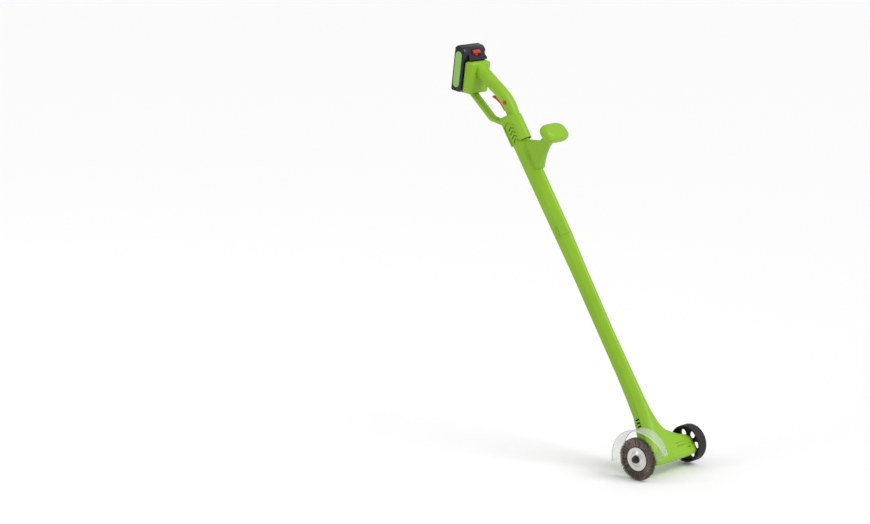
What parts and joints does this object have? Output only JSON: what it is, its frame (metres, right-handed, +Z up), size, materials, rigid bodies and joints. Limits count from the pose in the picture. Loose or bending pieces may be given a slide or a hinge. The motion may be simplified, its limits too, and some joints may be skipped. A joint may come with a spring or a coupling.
{
  "type": "lawn edger",
  "caption": "Long-handled cordless weed brush and lawn edger: upright battery, hand loop with trigger, two-piece tube, guarded wire brush and a side wheel.",
  "frame": {"origin": "centre of the main grip, on the mid plane", "axes": "+Z up with the machine leaning as it does in use, -Y forward towards the brush head, +X towards the wheel"},
  "size_m": [0.2175, 0.6898, 0.9407],
  "materials": {
    "casing": "moulded, satin",
    "battery_shell": "moulded, fine texture",
    "black_plastic": "moulded",
    "red_plastic": "moulded, semi-gloss",
    "labels": "printed film, no text",
    "steel": "zinc-plated",
    "bristles": "dense crimped wire",
    "guard": "clear polycarbonate",
    "wheel": "hard rubber",
    "contacts": "plain",
    "leads": "insulated pair",
    "board": "circuit board",
    "cells": "sleeved"
  },
  "bodies": {
    "machine": {"assist_knob": "casing", "battery_lead": "leads", "brush_guard": "guard", "dock_blade_negative": "contacts", "dock_blade_positive": "contacts", "dock_terminal_block": "black_plastic", "gear_housing": "black_plastic", "guard_screw": "steel", "handle_screw_1": "steel", "handle_screw_2": "steel", "handle_screw_3": "steel", "handle_shell_left": "casing", "handle_shell_right": "casing", "head_screw_1": "steel", "head_screw_2": "steel", "head_screw_3": "steel", "head_shell_left": "casing", "head_shell_right": "casing", "lock_off_spring": "steel", "motor_can": "steel", "motor_end_cap": "black_plastic", "motor_lead": "leads", "power_switch": "black_plastic", "spindle_bearing_inner": "steel", "spindle_bearing_outer": "steel", "trigger_spring": "steel", "tube_lock_spring": "steel", "tube_screw_1": "steel", "tube_screw_2": "steel", "upper_tube_left": "casing", "upper_tube_right": "casing", "wheel_bolt": "steel", "wheel_washer": "steel"},
    "brush_spindle": {"spindle": "steel", "drive_gear": "steel", "brush_bristles": "bristles", "brush_plate_inner": "steel", "brush_plate_outer": "steel", "spindle_nut": "black_plastic"},
    "motor_rotor": {"motor_shaft": "steel", "motor_pinion": "steel"},
    "wheel": {"wheel": "wheel"},
    "trigger": {"trigger": "red_plastic"},
    "lock_off": {"lock_off_button": "red_plastic"},
    "battery": {"battery_case_upper": "battery_shell", "battery_case_lower": "black_plastic", "battery_label_left": "labels", "battery_label_right": "labels", "battery_circuit_board": "board", "battery_terminal_block": "black_plastic", "battery_end_cover": "black_plastic", "release_spring": "steel", "battery_cell_1": "cells", "battery_cell_2": "cells", "battery_cell_3": "cells", "battery_cell_4": "cells", "battery_cell_5": "cells"},
    "battery_release": {"battery_release": "red_plastic"},
    "tube_lock": {"tube_lock_button": "casing"}
  },
  "joints": [
    {"name": "brush_spin", "type": "hinge", "parent": "machine", "child": "brush_spindle", "pos_m": [-0.075, -0.503, -0.793], "axis": [1, 0, 0], "continuous": true},
    {"name": "motor_spin", "type": "hinge", "parent": "machine", "child": "motor_rotor", "pos_m": [0, -0.473, -0.74104], "axis": [0, 0.5, 0.866], "continuous": true},
    {"name": "wheel_spin", "type": "hinge", "parent": "machine", "child": "wheel", "pos_m": [0.11, -0.503, -0.793], "axis": [1, 0, 0], "continuous": true},
    {"name": "trigger_pull", "type": "hinge", "parent": "machine", "child": "trigger", "pos_m": [0, -0.0309, -0.04105], "axis": [1, 0, 0], "range_deg": [0, 7], "stiffness_Nm_per_rad": 0.8, "springref_deg": -5.73, "deforming": ["trigger_spring"]},
    {"name": "lock_off_push", "type": "slide", "parent": "machine", "child": "lock_off", "axis": [1, 0, 0], "range_m": [0, 0.0035], "stiffness_N_per_m": 400, "springref_m": -0.003, "deforming": ["lock_off_spring"]},
    {"name": "battery_slide", "type": "slide", "parent": "machine", "child": "battery", "axis": [0, -0.1392, 0.9903], "range_m": [0, 0.05]},
    {"name": "battery_release_press", "type": "slide", "parent": "battery", "child": "battery_release", "axis": [0, 0.766, 0.6428], "range_m": [0, 0.0025], "stiffness_N_per_m": 1200, "springref_m": -0.002, "deforming": ["release_spring"]},
    {"name": "tube_lock_press", "type": "slide", "parent": "machine", "child": "tube_lock", "axis": [1, 0, 0], "range_m": [0, 0.003], "stiffness_N_per_m": 1500, "springref_m": -0.002, "deforming": ["tube_lock_spring"]}
  ],
  "couplings": [
    {"joint": "motor_spin", "follows": "brush_spin", "ratio": 3}
  ]
}
